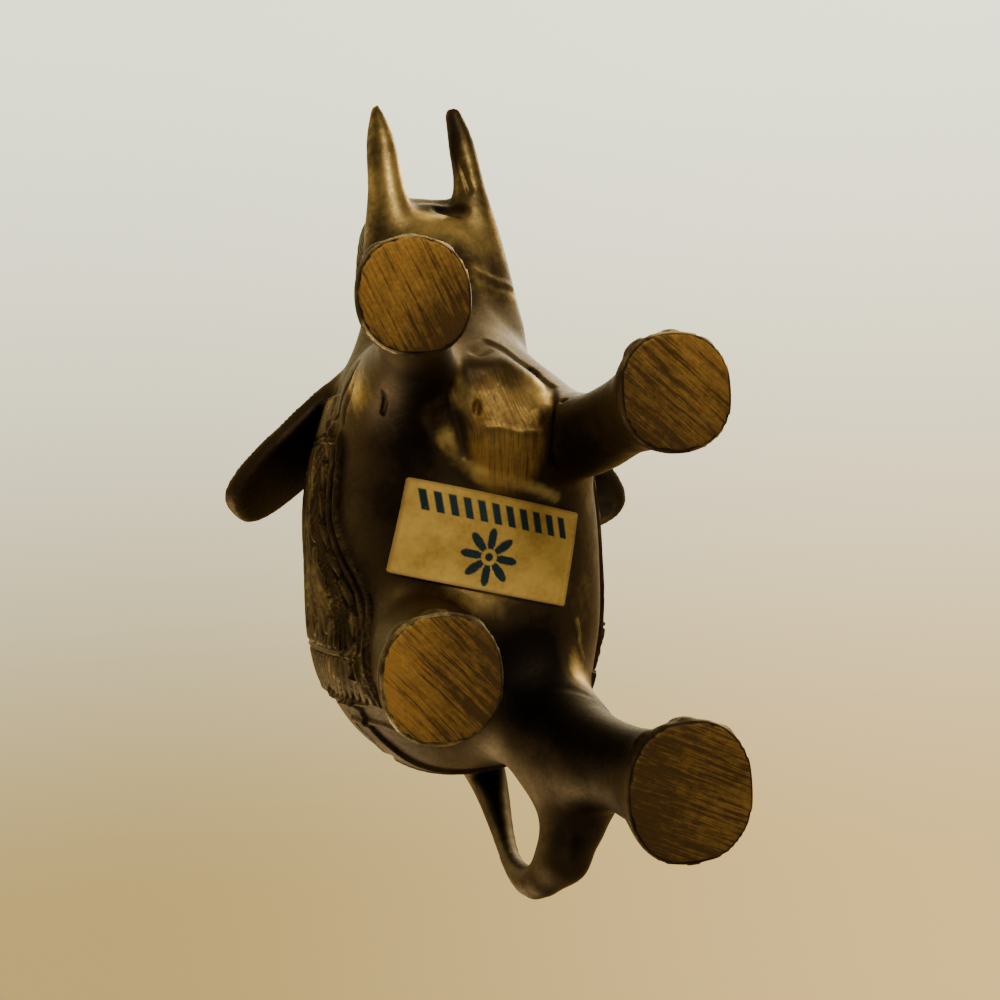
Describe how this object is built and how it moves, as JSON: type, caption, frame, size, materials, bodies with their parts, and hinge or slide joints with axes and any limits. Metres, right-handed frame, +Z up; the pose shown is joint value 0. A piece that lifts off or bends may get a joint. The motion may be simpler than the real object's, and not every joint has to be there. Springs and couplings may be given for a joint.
{
  "type": "elephant figurine",
  "caption": "Small cast brass elephant, walking with its trunk raised, under a carved saddle cloth, with a paper label stuck beneath its belly.",
  "frame": {"origin": "on the surface that the soles stand on, under the middle of the figure's length and width", "axes": "+Z up, the head and tusks towards -Y, the tail towards +Y, the animal's right side at -X"},
  "size_m": [0.0554, 0.0992, 0.0852],
  "materials": {
    "brass": "aged cast brass: dark brown in the hollows, worn golden on the raised parts, filed bare on the soles",
    "paper": "aged cream-gold paper with a dull teal print"
  },
  "bodies": {
    "root": {"elephant": "brass", "label": "paper"}
  },
  "joints": []
}
